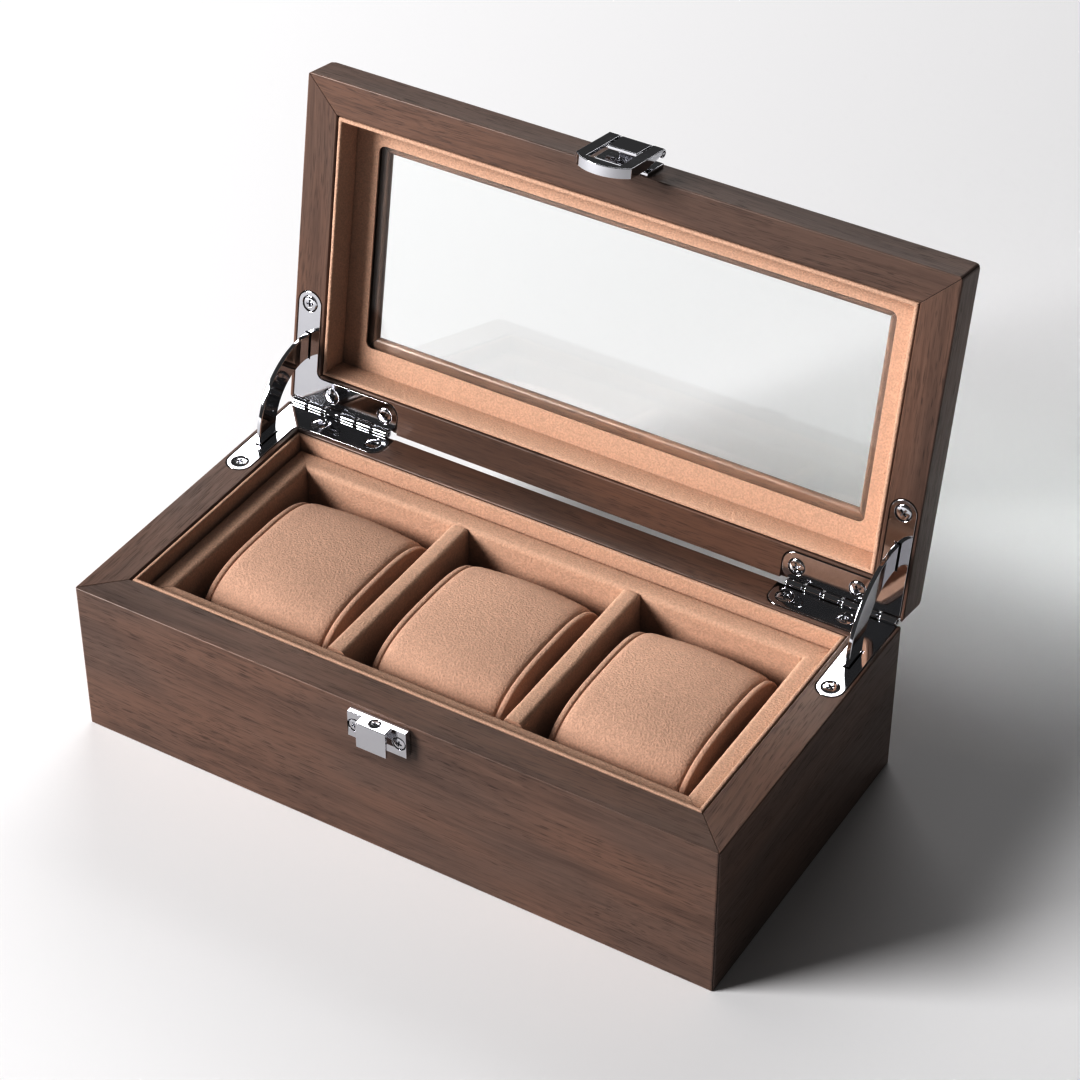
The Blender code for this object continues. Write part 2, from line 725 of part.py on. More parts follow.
def catch():
    """A plate on the base's front face whose top folds forwards into a tab for the lever's slot."""
    face = -DEPTH / 2
    low, high = CATCH_Z
    plate = block(
        "catch_plate",
        (-CATCH_HALF, face - CATCH_PLATE, low - 0.2 * MM),
        (CATCH_HALF, face - PLATE_BACK, high),
        "chrome",
    )
    bridge = block(
        "catch_bridge", (-TAB_HALF, face - TAB_OUT[1], high - 1.2 * MM), (TAB_HALF, face - 2 * MM, high)
    )
    tab = block("catch_tab", (-TAB_HALF, face - TAB_OUT[1], low), (TAB_HALF, face - TAB_OUT[0], high))
    boss = rod(
        "catch_boss",
        (0, face - TOP_SCREW_OUT, high - 7 * MM),
        (0, face - TOP_SCREW_OUT, high - 0.55 * MM),
        1.57 * MM,
        sides=14,
    )
    boolean(plate, "UNION", boss, bridge, tab)
    for k, (x, z) in enumerate(CATCH_SCREWS):
        around = rod(
            f"catch_head_{k}",
            (x, face - 4 * MM, z),
            (x, face - CATCH_PLATE + 1.4 * MM, z),
            CATCH_HEAD_R + GAP,
            sides=14,
        )
        ends = (x, face - 4 * MM, z), (x, face + MM, z)
        through = rod(f"catch_through_{k}", *ends, SHANK_R + GAP, sides=HOLE_SIDES)
        boolean(plate, "DIFFERENCE", through, around, solver="MANIFOLD")
    top = (0, face - TOP_SCREW_OUT, high)
    above = (*top[:2], high + MM)
    sunk = rod("catch_top_head", above, (*top[:2], high - 0.8 * MM), SMALL_HEAD_R + 0.2 * MM)
    ends = above, (*top[:2], high - 6 * MM)
    deep = rod("catch_top_hole", *ends, SMALL_SHANK_R + GAP, sides=HOLE_SIDES)
    boolean(plate, "DIFFERENCE", sunk, deep, solver="MANIFOLD")
    side_screw = screw_mesh(CATCH_HEAD_R)
    top_screw = screw_mesh(SMALL_HEAD_R, SMALL_SHANK_R, 5 * MM, 0.6 * MM)
    for k, (x, z) in enumerate(CATCH_SCREWS):
        place = place_screw((x, face - CATCH_PLATE, z), (0, -1, 0), 0.4 + k)
        fastener(f"catch_screw_{k + 1}", side_screw, place)
    fastener("catch_top_screw", top_screw, place_screw(top, (0, 0, 1), 0.3))


def clasp_bore(label):
    """The cutter for the lever's pin."""
    ends = [front_point(hand * (LEVER_HALF + 2 * SPARE), *PIVOT) for hand in SIDES.values()]
    return rod(f"clasp_bore_{label}", *ends, CLASP_PIN_R + GAP)


def clasp_mount(empty):
    """The lid's half of the clasp: a plate that folds back over itself as a tongue, with a knuckle."""
    out, up = PIVOT
    mount = front_block("clasp_mount", MOUNT_HALF, (PLATE_BACK, MOUNT_FACE), (0.8 * MM, 11.4 * MM), "chrome")
    rise = front_block("clasp_rise", TONGUE_HALF, (MM, out), (up - 0.7 * MM, up + 0.7 * MM))
    tongue = front_block("clasp_tongue", TONGUE_HALF, (5.6 * MM, 6.8 * MM), (0.2 * MM, up))
    ends = front_point(-TONGUE_HALF, out, up), front_point(TONGUE_HALF, out, up)
    boolean(mount, "UNION", rise, tongue, rod("clasp_knuckle", *ends, CLASP_KNUCKLE_R))
    bore = clasp_bore("mount")
    holes = []
    for k, (x, z) in enumerate(CLASP_SCREWS):
        ends = front_point(x, 3 * MM, z), front_point(x, -MM, z)
        holes.append(rod(f"clasp_seat_{k}", *ends, SMALL_HEAD_R + 0.2 * MM))
    boolean(mount, "DIFFERENCE", bore, *holes)
    smooth(mount)
    hang(mount, empty)
    pin_ends = front_point(-LEVER_HALF, out, up), front_point(LEVER_HALF, out, up)
    hang(rod("clasp_pin", *pin_ends, CLASP_PIN_R, "chrome"), empty)
    screw = screw_mesh(SMALL_HEAD_R, SMALL_SHANK_R, 7 * MM, MM)
    for k, (x, z) in enumerate(CLASP_SCREWS):
        place = place_screw(front_point(x, MOUNT_FACE, z), (0, -1, 0), 0.7 + k)
        hang(fastener(f"clasp_screw_{k + 1}", screw, place), empty)


def lever_outline(half, corner, tip, back):
    """A plan with straight sides and a front edge that is one arc through the tip."""
    sag = corner - tip
    radius = (half**2 + sag**2) / (2 * sag)
    reach = math.asin(half / radius)
    steps = 14
    arc = [-reach + 2 * reach * k / steps for k in range(steps + 1)]
    front = [(radius * math.sin(a), tip + radius - radius * math.cos(a)) for a in arc]
    return [*front, (half, back), (-half, back)]


def clasp_lever(empty):
    """The hinged flap: a slotted plate with a turned-down skirt and a knuckle on each side."""
    out, up = PIVOT
    stand = Matrix.Translation((0, -DEPTH / 2, MATING_Z)) @ Matrix.Rotation(math.pi / 2, 4, "X")
    outline = lever_outline(LEVER_HALF, LEVER_CORNER, LEVER_TIP, up)
    slot = rectangle((-SLOT_HALF, SLOT_END), (SLOT_HALF, up + 6 * MM), 0.0)
    lever = slab("clasp_lever", outline, LEVER_SKIRT, LEVER_PLATE[1], "chrome", turn=stand)
    hollow = lever_outline(LEVER_HALF - SKIRT_T, LEVER_CORNER, LEVER_TIP + SKIRT_T, up + 6 * MM)
    inside = slab("lever_hollow", hollow, 0, LEVER_PLATE[0], turn=stand)
    window = slab("lever_slot", slot, 0, 12 * MM, turn=stand)
    taper_points = [
        (8 * MM - up, LEVER_SKIRT),
        (8 * MM, 5 * MM),
        (20 * MM, 5 * MM),
        (20 * MM, 0),
        (8 * MM - up, 0),
    ]
    taper = slab(
        "lever_taper",
        [(-DEPTH / 2 - away, MATING_Z + height) for height, away in taper_points],
        -20 * MM,
        20 * MM,
        turn=UPRIGHT,
    )
    boolean(lever, "DIFFERENCE", inside, window, taper)
    for side, hand in SIDES.items():
        ends = [front_point(hand * x, out, up) for x in (TONGUE_HALF + 0.5 * MM, LEVER_HALF)]
        boolean(lever, "UNION", rod(f"lever_knuckle_{side}", *ends, CLASP_KNUCKLE_R))
    boolean(lever, "DIFFERENCE", clasp_bore("lever"))
    smooth(lever)
    pivot = axis_empty("clasp_pivot", front_point(0, out, up), empty)
    hang(lever, pivot)


# ---------------------------------------------------------------- build

clear_scene()
PARTS = new_collection("watch_box")
CUTTERS = new_collection("cutters")
base_case()
base_lining()
tray()
cushions()
catch()
LID_AXIS = axis_empty("lid_axis", (0, AXIS_Y, MATING_Z))
lid(LID_AXIS)
hinges(LID_AXIS)
stay_arms()
clasp_mount(LID_AXIS)
clasp_lever(LID_AXIS)
LID_AXIS.rotation_euler.x = -OPEN_ANGLE
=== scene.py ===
"""Looks of the watch box: walnut case, suede lining and pillows, chrome hinges and clasp.

Metres, +Z up, the front faces -Y and the lid stands open. Lid pieces are drawn as if the lid were
closed and then turned open about the hinge axis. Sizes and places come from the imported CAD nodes.
"""

import json
import math

import bmesh
import bpy
from mathutils import Matrix, Vector, noise


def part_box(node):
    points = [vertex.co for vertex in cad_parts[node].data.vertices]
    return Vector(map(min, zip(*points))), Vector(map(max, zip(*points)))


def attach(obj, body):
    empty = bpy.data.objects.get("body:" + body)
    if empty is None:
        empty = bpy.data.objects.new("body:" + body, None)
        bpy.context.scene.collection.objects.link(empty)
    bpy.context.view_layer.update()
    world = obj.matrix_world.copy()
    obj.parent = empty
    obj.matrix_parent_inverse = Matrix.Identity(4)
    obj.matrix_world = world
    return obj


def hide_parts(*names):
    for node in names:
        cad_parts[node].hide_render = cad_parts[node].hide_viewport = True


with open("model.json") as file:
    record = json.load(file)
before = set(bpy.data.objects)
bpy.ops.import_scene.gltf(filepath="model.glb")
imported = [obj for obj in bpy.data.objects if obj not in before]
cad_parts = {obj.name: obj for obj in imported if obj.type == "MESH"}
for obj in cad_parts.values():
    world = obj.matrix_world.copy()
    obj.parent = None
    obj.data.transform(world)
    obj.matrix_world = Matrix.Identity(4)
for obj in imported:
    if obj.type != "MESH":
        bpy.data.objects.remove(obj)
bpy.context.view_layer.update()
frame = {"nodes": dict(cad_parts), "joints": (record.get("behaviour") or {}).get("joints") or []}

MM = 0.001
NODES = frame["nodes"]
JOINTS = {joint["name"]: joint for joint in frame["joints"]}
HINGE = Vector(JOINTS["lid_hinge"]["pos_m"])
OPEN_ANGLE = -math.radians(JOINTS["lid_hinge"]["range_deg"][0])
TO_HINGE = Matrix.Translation(HINGE)
LID_TURN = TO_HINGE @ Matrix.Rotation(-OPEN_ANGLE, 4, "X") @ TO_HINGE.inverted()
SIDES = ("front", "right", "back", "left")
HANDS = {"left": -1, "right": 1}

# edge rounding
WOOD_EDGE = 0.15 * MM
METAL_EDGE = 0.2 * MM
SHARP_ANGLE = math.radians(35)
SUEDE_SHARP_ANGLE = math.radians(50)
WELD_DISTANCE = 0.001 * MM
FLAT_ANGLE = math.radians(0.6)

# hinges and stay arms
ARM_EDGE = 0.35 * MM
ARM_STEPS = 64
KNUCKLES = 6
KNUCKLE_GAP = 0.4 * MM
KNUCKLE_SOFT = 0.5 * MM

# suede
NAP_STEP = 0.9 * MM
NAP_HEIGHT = 0.09 * MM
NAP_SPACING = 1.1 * MM
PEACH = (0.63, 0.455, 0.36)
PILLOW_PEACH = (0.63, 0.45, 0.36)

# pillows
PILLOW_POWER = 3.0
PILLOW_AROUND = 112
SEAM_DROP = 4.2 * MM
SEAM_PULL = 2.6 * MM
PANEL_INSET = 1.3 * MM
WRAP_RISE = 0.8 * MM
SWELL_LIMIT = 4.6 * MM
CLOTH_FRAMES = 20
PILLOW_NAP_HEIGHT = 0.05 * MM
PILLOW_NAP_SPACING = 1.3 * MM

# screws
SCREW_PROUD = 0.15 * MM
SCREW_EDGE = 0.04 * MM

# camera
CAMERA_PLACE = Vector((0.4108, -0.6444, 0.6919))
CAMERA_RIGHT = Vector((0.85526, 0.51820, 0.0007))
CAMERA_UP = Vector((-0.32227, 0.53088, 0.78377))
CAMERA_LENS = 101.9

# light and view
LAMP_AIM = Vector((0, 0, 0.06))
LAMPS = (("key", 222, 28, 3.0, (1.2, 1.2), 159), ("back", 112, 34, 2.0, (1.4, 0.85), 14))
SKY_STRENGTH = 0.15
FLOOR_HALF = 4.0
VIEW_GAMMA = 0.6


# ---------------------------------------------------------------- measuring the frame


def box_of(names, undo=None):
    """Lowest and highest corner of some CAD nodes, with the lid closed if undo is its turn."""
    back = undo.inverted() if undo else Matrix()
    points = [back @ vertex.co for name in names for vertex in NODES[name].data.vertices]
    low = Vector(min(point[axis] for point in points) for axis in range(3))
    high = Vector(max(point[axis] for point in points) for axis in range(3))
    return low, high


# ---------------------------------------------------------------- materials


class Surface:
    """A Principled material and the nodes that feed it."""

    def __init__(self, name, **constants):
        self.material = bpy.data.materials.new(name)
        self.material.use_nodes = True
        self.tree = self.material.node_tree
        self.shader = self.tree.nodes["Principled BSDF"]
        for socket, value in constants.items():
            self.shader.inputs[socket.replace("_", " ")].default_value = value

    def add(self, kind, inputs, **settings):
        node = self.tree.nodes.new(kind)
        for key, value in settings.items():
            setattr(node, key, value)
        for key, value in inputs.items():
            if isinstance(value, bpy.types.NodeSocket):
                self.tree.links.new(value, node.inputs[key])
            else:
                node.inputs[key].default_value = value
        return node

    def place(self, turn=(0, 0, 0), shift=(0, 0, 0)):
        """Object coordinates in millimetres, turned so that the grain runs along X."""
        source = self.add("ShaderNodeTexCoord", {}).outputs["Object"]
        inputs = {"Vector": source, "Location": shift, "Rotation": turn, "Scale": (1000, 1000, 1000)}
        return self.add("ShaderNodeMapping", inputs).outputs[0]

    def stretch(self, vector, scale):
        inputs = {0: vector, 1: scale}
        return self.add("ShaderNodeVectorMath", inputs, operation="MULTIPLY").outputs[0]

    def noise(self, vector, scale, detail=2.0, roughness=0.5, output="Fac"):
        inputs = {"Vector": vector, "Scale": scale, "Detail": detail, "Roughness": roughness}
        return self.add("ShaderNodeTexNoise", inputs).outputs[output]

    def maths(self, operation, first, second=0.5, clamp=False):
        inputs = {0: first, 1: second}
        return self.add("ShaderNodeMath", inputs, operation=operation, use_clamp=clamp).outputs[0]

    def spread(self, value, low, high, to_low=0.0, to_high=1.0):
        """value's range low..high as to_low..to_high, with soft ends."""
        inputs = {0: value, 1: low, 2: high, 3: to_low, 4: to_high}
        return self.add("ShaderNodeMapRange", inputs, interpolation_type="SMOOTHSTEP").outputs[0]

    def mix(self, factor, first, second, how="MIX"):
        inputs = {0: factor, 6: first, 7: second}
        node = self.add("ShaderNodeMix", inputs, data_type="RGBA", blend_type=how)
        return node.outputs[2]

    def bump(self, height, distance, strength=1.0, over=None):
        inputs = {"Height": height, "Distance": distance, "Strength": strength}
        if over:
            inputs["Normal"] = over
        return self.add("ShaderNodeBump", inputs).outputs[0]

    def wire(self, **sockets):
        for socket, value in sockets.items():
            self.tree.links.new(value, self.shader.inputs[socket.replace("_", " ")])
        return self.material


def rgb(red, green, blue):
    return (red, green, blue, 1.0)


def walnut(name, turn, shift):
    """Satin-lacquered dark walnut whose grain runs along the turned X axis."""
    wood = Surface(name, Coat_Weight=0.30, Coat_Roughness=0.28, Coat_IOR=1.5)
    place = wood.place(turn, shift)
    sway = wood.noise(wood.stretch(place, (0.008, 0.03, 0.03)), 1.0, 1.0, output="Color")
    centred = wood.add("ShaderNodeVectorMath", {0: sway, 1: (0.5, 0.5, 0.5)}, operation="SUBTRACT")
    moved = wood.add(
        "ShaderNodeVectorMath", {0: centred.outputs[0], 1: (0, 9, 9), 2: place}, operation="MULTIPLY_ADD"
    ).outputs[0]
    bands = wood.noise(wood.stretch(moved, (0.006, 0.11, 0.11)), 1.0, 3.0, 0.55)
    patches = wood.noise(wood.stretch(moved, (0.012, 0.035, 0.035)), 1.0, 2.0, 0.5)
    fibres = wood.noise(wood.stretch(moved, (0.035, 1.1, 1.1)), 1.0, 3.0, 0.6)
    flecks = wood.noise(wood.stretch(moved, (0.11, 1.25, 1.25)), 1.0, 1.0, 0.5)
    pores = wood.noise(wood.stretch(moved, (0.16, 3.4, 3.4)), 1.0, 0.0)
    crowd = wood.noise(wood.stretch(moved, (0.02, 0.14, 0.14)), 1.0, 1.0)
    warm = rgb(0.205, 0.126, 0.094)
    grey = rgb(0.152, 0.104, 0.085)
    dark = rgb(0.080, 0.050, 0.040)
    colour = wood.mix(wood.spread(patches, 0.38, 0.66, 0.0, 0.8), warm, grey)
    colour = wood.mix(wood.spread(bands, 0.50, 0.74, 0.0, 0.45), colour, dark)
    colour = wood.mix(wood.spread(fibres, 0.46, 0.72, 0.0, 0.40), colour, dark)
    light = wood.spread(fibres, 0.28, 0.44, 0.30, 0.0)
    colour = wood.mix(light, colour, rgb(0.245, 0.162, 0.126))
    fleck = wood.maths("MULTIPLY", wood.spread(flecks, 0.58, 0.74), wood.spread(crowd, 0.35, 0.65))
    colour = wood.mix(wood.maths("MULTIPLY", fleck, 0.45), colour, dark)
    pore_crowd = wood.spread(crowd, 0.30, 0.6, 0.25, 1.0)
    pore = wood.maths("MULTIPLY", wood.spread(pores, 0.60, 0.74), pore_crowd)
    colour = wood.mix(wood.maths("MULTIPLY", pore, 0.5), colour, rgb(0.04, 0.025, 0.02))
    fibre_shine = wood.spread(fibres, 0.3, 0.7, 0.36, 0.44)
    shine = wood.maths("ADD", fibre_shine, wood.maths("MULTIPLY", pore, 0.2))
    height = wood.maths("SUBTRACT", wood.maths("MULTIPLY", fibres, 0.25), pore)
    return wood.wire(Base_Color=colour, Roughness=shine, Normal=wood.bump(height, 0.05 * MM, 0.55))


def suede(name, colour, shift=(0, 0, 0)):
    """Micro-suede: a short mottled nap that is lighter where it stands against the light."""
    cloth = Surface(name, Sheen_Weight=0.22, Sheen_Roughness=0.4, Specular_IOR_Level=0.1)
    cloth.shader.inputs["Sheen Tint"].default_value = rgb(1.0, 0.88, 0.78)
    place = cloth.place((0, 0, 0), shift)
    drift = cloth.noise(place, 0.05, 2.0)
    strokes = cloth.noise(place, 0.24, 2.0)
    grains = cloth.noise(place, 1.45, 2.0, 0.6)
    fuzz = cloth.noise(place, 3.6, 1.0)
    deep = rgb(*(channel * 0.80 for channel in colour))
    pale = rgb(*(min(1, channel * 1.10 + 0.01) for channel in colour))
    made = cloth.mix(cloth.spread(grains, 0.34, 0.68), deep, pale)
    made = cloth.mix(0.45, made, rgb(*colour))
    made = cloth.mix(cloth.spread(strokes, 0.35, 0.7, 0.0, 0.10), made, deep)
    made = cloth.mix(cloth.spread(drift, 0.35, 0.7, 0.0, 0.05), made, deep)
    tips = cloth.maths("ADD", grains, cloth.maths("MULTIPLY", fuzz, 0.35))
    rough = cloth.spread(grains, 0.3, 0.7, 0.86, 1.0)
    return cloth.wire(Base_Color=made, Roughness=rough, Normal=cloth.bump(tips, 0.34 * MM, 0.9))


def felt():
    cloth = Surface("felt_surface", Sheen_Weight=0.4, Sheen_Roughness=0.6)
    place = cloth.place()
    tufts = cloth.noise(place, 1.6, 3.0, 0.7)
    colour = cloth.mix(cloth.spread(tufts, 0.35, 0.7), rgb(0.02, 0.017, 0.016), rgb(0.05, 0.044, 0.04))
    rough = cloth.spread(tufts, 0.3, 0.7, 0.88, 1.0)
    return cloth.wire(Base_Color=colour, Roughness=rough, Normal=cloth.bump(tufts, 0.3 * MM, 0.8))


def fibreboard():
    board = Surface("board_surface")
    place = board.place()
    chips = board.noise(place, 0.9, 4.0, 0.7)
    colour = board.mix(board.spread(chips, 0.3, 0.7), rgb(0.16, 0.10, 0.062), rgb(0.27, 0.185, 0.12))
    rough = board.spread(chips, 0.3, 0.7, 0.6, 0.8)
    return board.wire(Base_Color=colour, Roughness=rough, Normal=board.bump(chips, 0.08 * MM, 0.5))


def chrome(name, rough):
    """Polished plating with fine hairlines and faint smears."""
    metal = Surface(name, Metallic=1.0)
    place = metal.place()
    smears = metal.noise(place, 0.12, 3.0)
    hairs = metal.noise(metal.stretch(place, (0.5, 6.0, 6.0)), 1.0, 2.0)
    smeared = metal.spread(smears, 0.4, 0.8, rough, rough * 2.0)
    shine = metal.maths("ADD", smeared, metal.spread(hairs, 0.6, 0.8, 0.0, 0.03))
    tint = metal.mix(metal.spread(smears, 0.3, 0.8, 0.0, 0.3), rgb(0.66, 0.66, 0.68), rgb(0.60, 0.60, 0.63))
    return metal.wire(Base_Color=tint, Roughness=shine, Normal=metal.bump(hairs, 0.004 * MM, 0.25))


def pane():
    """Clear glass that lets lamps through, so the box behind it stays lit."""
    glass = Surface("pane_surface", Transmission_Weight=1.0, IOR=1.46)
    glass.shader.inputs["Base Color"].default_value = rgb(0.985, 0.995, 0.99)
    glass.shader.inputs["Roughness"].default_value = 0.0
    clear = glass.add("ShaderNodeBsdfTransparent", {"Color": rgb(0.93, 0.95, 0.94)})
    ray = glass.add("ShaderNodeLightPath", {})
    inputs = {0: ray.outputs["Is Shadow Ray"], 1: glass.shader.outputs[0], 2: clear.outputs[0]}
    both = glass.add("ShaderNodeMixShader", inputs)
    end = glass.tree.nodes["Material Output"]
    glass.tree.links.new(both.outputs[0], end.inputs["Surface"])
    return glass.material


# ---------------------------------------------------------------- mesh helpers


def smooth_by_angle():
    """A node group that marks the edges sharper than SHARP_ANGLE."""
    group = bpy.data.node_groups.new("smooth_by_angle", "GeometryNodeTree")
    for way in ("INPUT", "OUTPUT"):
        group.interface.new_socket("Geometry", in_out=way, socket_type="NodeSocketGeometry")
    start, end = group.nodes.new("NodeGroupInput"), group.nodes.new("NodeGroupOutput")
    angle = group.nodes.new("GeometryNodeInputMeshEdgeAngle")
    sharp = group.nodes.new("FunctionNodeCompare")
    sharp.inputs[1].default_value = SHARP_ANGLE
    mark = group.nodes.new("GeometryNodeSetShadeSmooth")
    mark.domain = "EDGE"
    mark.inputs["Shade Smooth"].default_value = False
    group.links.new(start.outputs[0], mark.inputs["Geometry"])
    group.links.new(angle.outputs["Unsigned Angle"], sharp.inputs[0])
    group.links.new(sharp.outputs[0], mark.inputs["Selection"])
    group.links.new(mark.outputs[0], end.inputs[0])
    return group


def bare(mesh):
    """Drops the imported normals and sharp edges."""
    for attribute in ("custom_normal", "sharp_edge"):
        if attribute in mesh.attributes:
            mesh.attributes.remove(mesh.attributes[attribute])
    mesh.shade_smooth()


def merge_flat(obj):
    """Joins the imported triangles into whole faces."""
    obj.modifiers.new("weld", "WELD").merge_threshold = WELD_DISTANCE
    flat = obj.modifiers.new("flat", "DECIMATE")
    flat.decimate_type = "DISSOLVE"
    flat.angle_limit = FLAT_ANGLE


def finish_node(name, surface, edge, segments=2, slide=True):
    """Gives a CAD node its surface and rounds its edges with modifiers. Its own mesh stays as packed."""
    obj = NODES[name]
    bare(obj.data)
    obj.data.materials.clear()
    obj.data.materials.append(surface)
    merge_flat(obj)
    round_edges(obj, edge, segments, slide)


def new_piece(name, verts, faces, surface, body, stands_for=()):
    """A piece from points and faces, riding on a body and standing for CAD nodes."""
    mesh = bpy.data.meshes.new(name)
    mesh.from_pydata(verts, [], faces)
    mesh.shade_smooth()
    mesh.materials.append(surface)
    obj = bpy.data.objects.new(name, mesh)
    bpy.context.scene.collection.objects.link(obj)
    shape = bmesh.new()
    shape.from_mesh(mesh)
    bmesh.ops.recalc_face_normals(shape, faces=shape.faces)
    if shape.calc_volume(signed=True) < 0:
        bmesh.ops.reverse_faces(shape, faces=shape.faces)
    shape.to_mesh(mesh)
    shape.free()
    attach(obj, body)
    if stands_for:
        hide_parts(*stands_for)
    return obj


def raise_nap(mesh, height, spacing, seed):
    """Moves every vertex along its normal by a fine seeded noise, for the uneven pile of suede."""
    normals = [vertex.normal.copy() for vertex in mesh.vertices]
    for vertex, normal in zip(mesh.vertices, normals):
        fine = noise.noise(vertex.co / spacing + Vector((seed, 0, 0)))
        broad = noise.noise(vertex.co / (9 * spacing) + Vector((0, seed, 0)))
        vertex.co += normal * height * (0.75 * fine + 0.6 * broad)


def arc(centre, radius, start, end, steps=5):
    angles = [math.radians(start + (end - start) * k / steps) for k in range(steps + 1)]
    return [(centre[0] + radius * math.cos(a), centre[1] + radius * math.sin(a)) for a in angles]


# ---------------------------------------------------------------- suede boards


def soft_profile(inner, outer, low, high, radius):
    """A board's cross-section as (inwards, z): round at the top, nearly square at the foot."""
    top = high - radius
    points = [(outer, low), (inner, low)]
    points += [(inner, low + (top - low) * k / 8) for k in range(1, 8)]
    points += arc((inner - radius, top), radius, 0, 90, 6)
    wide = inner - outer - 2 * radius
    steps = max(1, round(wide / (1.5 * MM)))
    points += [(inner - radius - wide * k / steps, high) for k in range(1, steps)]
    points += arc((outer + radius, top), radius, 90, 180, 6)
    points += [(outer, top - (top - low) * k / 8) for k in range(1, 8)]
    return points


def suede_board(node, sections, surface, body, seed):
    """A board through equal cross-sections, closed at both ends, standing for its node."""
    ring, last = len(sections[0]), len(sections) - 1
    verts = [point for section in sections for point in section]
    faces = []
    for step in range(last):
        for k in range(ring):
            a, b = step * ring + k, step * ring + (k + 1) % ring
            faces.append((a, b, b + ring, a + ring))
    faces.append(tuple(range(ring)))
    faces.append(tuple(last * ring + k for k in reversed(range(ring))))
    piece = new_piece(f"{node}_suede", verts, faces, surface, body, (node,))
    raise_nap(piece.data, NAP_HEIGHT, NAP_SPACING, seed)
    piece.data.set_sharp_from_angle(angle=SUEDE_SHARP_ANGLE)


def mitred_sections(side, half, profile, turn):
    """Cross-sections of one side of a frame of boards. half is the frame's outer half size."""
    quarter = SIDES.index(side)
    along, reach = (half[0], half[1]) if quarter % 2 == 0 else (half[1], half[0])
    place = turn @ Matrix.Rotation(quarter * math.pi / 2, 4, "Z")
    stations = max(2, round(2 * along / NAP_STEP))
    sections = []
    for step in range(stations + 1):
        share = 2 * step / stations - 1
        sections.append([place @ Vector((share * (along - inward - 0.05 * MM), inward - reach, height))
                         for inward, height in profile])
    return sections


def lining():
    """Base liner, tray walls, dividers and lid liner, each as its own suede-covered board."""
    for set_name, body, turn, radius in (
        ("base_liner", "base", Matrix(), 0.6 * MM),
        ("tray_wall", "base", Matrix(), 2.0 * MM),
        ("lid_liner", "lid", LID_TURN, 0.6 * MM),
    ):
        nodes = [f"{set_name}_{side}" for side in SIDES]
        low, high = box_of(nodes, turn)
        right_low, right_high = box_of([f"{set_name}_right"], turn)
        thick = right_high.x - right_low.x
        middle = (low.y + high.y) / 2
        half = (high.x, (high.y - low.y) / 2)
        if set_name == "lid_liner":
            profile = soft_profile(thick, 0, -high.z, -low.z, radius)
            profile = [(inward, -height) for inward, height in profile]
        else:
            profile = soft_profile(thick, 0, low.z, high.z, radius)
        shift = Matrix.Translation((0, middle, 0))
        for index, side in enumerate(SIDES):
            surface = LINER if set_name != "lid_liner" else LID_LINER
            sections = mitred_sections(side, half, profile, turn @ shift)
            suede_board(f"{set_name}_{side}", sections, surface, body, 3.7 * index + 1)
    for hand in HANDS:
        divider(hand)


def divider(hand):
    low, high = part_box(f"tray_divider_{hand}")
    profile = soft_profile(high.x - low.x, 0, low.z, high.z, 2.0 * MM)
    stations = round((high.y - low.y) / NAP_STEP)
    sections = []
    for step in range(stations + 1):
        y = low.y + (high.y - low.y) * step / stations
        sections.append([(low.x + across, y, height) for across, height in profile])
    suede_board(f"tray_divider_{hand}", sections, LINER, "base", 5.0 + low.x * 100)


# ---------------------------------------------------------------- pillows


def superellipse(half_y, half_z, share):
    angle = 2 * math.pi * share
    c, s = math.cos(angle), math.sin(angle)
    y = math.copysign(abs(c) ** (2 / PILLOW_POWER), c) * half_y
    z = math.copysign(abs(s) ** (2 / PILLOW_POWER), s) * half_z
    return y, z


def pillow_rings(half_x):
    """(x, how far the ring lies inside the seam line, whether it is sewn) from one end to the middle."""
    seam = [
        (half_x - PANEL_INSET, 14.0 * MM, False),
        (half_x - PANEL_INSET, 8.0 * MM, False),
        (half_x - PANEL_INSET, 4.5 * MM, False),
        (half_x - 0.75 * MM, 2.2 * MM, True),
        (half_x - 0.30 * MM, 1.15 * MM, True),
        (half_x - 0.05 * MM, 0.65 * MM, True),
        (half_x - 0.15 * MM, 0.25 * MM, True),
        (half_x - 0.60 * MM, 0.05 * MM, True),
        (half_x - 1.40 * MM, 0.0, True),
        (half_x - 1.95 * MM, 0.10 * MM, True),
        (half_x - 2.15 * MM, 0.50 * MM, True),
        (half_x - 2.30 * MM, 0.65 * MM, True),
        (half_x - 2.45 * MM, 0.50 * MM, True),
        (half_x - 2.75 * MM, -0.05 * MM, True),
        (half_x - 3.50 * MM, -0.45 * MM, False),
        (half_x - 5.20 * MM, -0.80 * MM, False),
    ]
    first = seam[-1][0]
    inner = [(first * (1 - k / 9), wrap_rise(k / 9), False) for k in range(1, 9)]
    return seam + inner


def wrap_rise(share):
    """How far the wrap stands above the seam line, from just inside the seam to the middle."""
    return -WRAP_RISE * (1 + 1.2 * math.sin(share * math.pi / 2))


